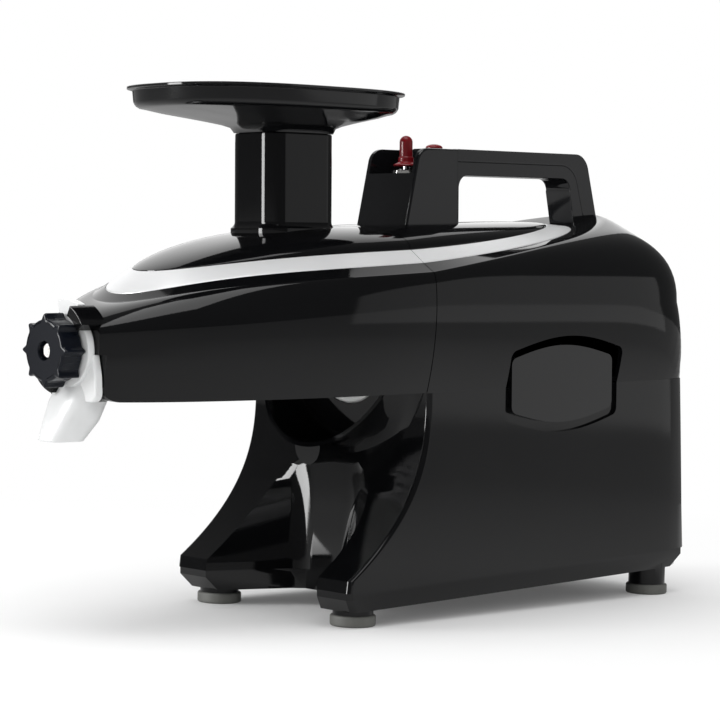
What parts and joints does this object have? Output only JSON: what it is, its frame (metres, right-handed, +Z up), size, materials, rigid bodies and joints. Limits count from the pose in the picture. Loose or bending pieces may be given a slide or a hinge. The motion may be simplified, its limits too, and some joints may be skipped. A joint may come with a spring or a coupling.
{
  "type": "cold press juicer",
  "caption": "Horizontal masticating juicer with meshing helical press gears, lift-off hopper tray, adjustable pulp outlet, carry handle and geared motor drive",
  "frame": {"origin": "on the floor under the middle of the machine", "axes": "+X towards the motor end, +Y across the machine away from the badge side, +Z up"},
  "size_m": [0.48, 0.172, 0.3145],
  "materials": {
    "housing_black": "polished black moulding",
    "handle_black": "polished black moulding",
    "hopper_black": "satin black moulding",
    "badge_black": "blank raised plate",
    "trim_silver": "pale silver inlay",
    "foot_rubber": "grey rubber",
    "screw_steel": "bright steel",
    "cap_white": "pale moulding",
    "switch_body": "black thermoset",
    "boot_red": "red rubber",
    "cast_alloy": "cast",
    "stator_steel": "laminated steel",
    "copper_winding": "enamelled copper wire",
    "shaft_steel": "ground steel",
    "capacitor_can": "plastic can",
    "gear_white": "nylon",
    "bush_brass": "sintered bronze",
    "chamber_white": "white food-grade moulding",
    "press_steel": "polished stainless steel",
    "outlet_white": "translucent white moulding",
    "knob_slate": "dark slate moulding"
  },
  "bodies": {
    "machine": {"base_plate": "housing_black", "rubber_feet": "foot_rubber", "base_screws": "screw_steel", "lower_housing": "housing_black", "upper_housing": "housing_black", "body_trim": "trim_silver", "badge_plate": "badge_black", "bearing_cap": "cap_white", "switch_tower": "housing_black", "handle_outer": "handle_black", "handle_inner": "handle_black", "toggle_switch": "switch_body", "toggle_nut": "screw_steel", "mains_inlet": "switch_body", "motor_bracket": "cast_alloy", "stator": "stator_steel", "winding": "copper_winding", "motor_bearings": "shaft_steel", "run_capacitor": "capacitor_can", "gearbox_frame": "cast_alloy", "intermediate_pin": "shaft_steel", "idler_stub": "shaft_steel", "shaft_bushes": "bush_brass"},
    "toggle": {"toggle_lever": "screw_steel", "toggle_boot": "boot_red"},
    "button": {"push_button": "boot_red"},
    "rotor_group": {"rotor": "stator_steel", "motor_shaft": "shaft_steel", "cooling_fan": "switch_body", "motor_pinion": "shaft_steel"},
    "intermediate_group": {"intermediate_gear": "gear_white"},
    "output_group": {"output_wheel": "shaft_steel", "drive_shaft": "shaft_steel"},
    "head": {"head_cowl": "housing_black", "head_trim": "trim_silver", "gear_chamber": "chamber_white", "juice_screen": "press_steel"},
    "drive_press": {"drive_gear": "press_steel"},
    "driven_press": {"driven_gear": "press_steel"},
    "hopper_tray": {"hopper": "hopper_black"},
    "outlet": {"outlet_casing": "outlet_white"},
    "plug": {"outlet_plug": "switch_body"},
    "knob_group": {"knob": "knob_slate", "knob_screw": "screw_steel"}
  },
  "joints": [
    {"name": "motor_spin", "type": "hinge", "parent": "machine", "child": "rotor_group", "pos_m": [0.12035, 0, 0.08512], "axis": [0.9996, 0, 0.0286], "continuous": true},
    {"name": "intermediate_spin", "type": "hinge", "parent": "machine", "child": "intermediate_group", "pos_m": [0.03727, 0, 0.12151], "axis": [0.9996, 0, 0.0286], "continuous": true},
    {"name": "output_spin", "type": "hinge", "parent": "machine", "child": "output_group", "pos_m": [0.02813, 0.018, 0.16151], "axis": [0.9996, 0, 0.0286], "continuous": true},
    {"name": "head_pull", "type": "slide", "parent": "machine", "child": "head", "axis": [-0.9996, 0, -0.0286], "range_m": [0, 0.06]},
    {"name": "drive_gear_spin", "type": "hinge", "parent": "head", "child": "drive_press", "pos_m": [-0.09782, 0.018, 0.1579], "axis": [0.9996, 0, 0.0286], "continuous": true},
    {"name": "driven_gear_spin", "type": "hinge", "parent": "head", "child": "driven_press", "pos_m": [-0.09782, -0.018, 0.1579], "axis": [0.9996, 0, 0.0286], "continuous": true},
    {"name": "hopper_lift", "type": "slide", "parent": "head", "child": "hopper_tray", "axis": [-0.0286, 0, 0.9996], "range_m": [0, 0.08]},
    {"name": "outlet_pull", "type": "slide", "parent": "head", "child": "outlet", "axis": [-0.9996, 0, -0.0286], "range_m": [0, 0.05]},
    {"name": "plug_travel", "type": "slide", "parent": "outlet", "child": "plug", "axis": [-0.9996, 0, -0.0286], "range_m": [0, 0.0041]},
    {"name": "knob_turn", "type": "hinge", "parent": "plug", "child": "knob_group", "pos_m": [-0.23188, 0, 0.15807], "axis": [-0.9996, 0, -0.0286], "range_deg": [0, 960]},
    {"name": "toggle_swing", "type": "hinge", "parent": "machine", "child": "toggle", "pos_m": [0.03603, 0, 0.26978], "axis": [0, 1, 0], "range_deg": [-10, 10]},
    {"name": "button_push", "type": "slide", "parent": "machine", "child": "button", "axis": [0.0286, 0, -0.9996], "range_m": [0, 0.002], "stiffness_N_per_m": 400, "springref_m": -0.001}
  ],
  "couplings": [
    {"joint": "intermediate_spin", "follows": "motor_spin", "ratio": -0.24},
    {"joint": "output_spin", "follows": "motor_spin", "ratio": 0.068571},
    {"joint": "drive_gear_spin", "follows": "motor_spin", "ratio": 0.068571},
    {"joint": "driven_gear_spin", "follows": "motor_spin", "ratio": -0.068571},
    {"joint": "plug_travel", "follows": "knob_turn", "m_per_rad": 0.00023873}
  ]
}
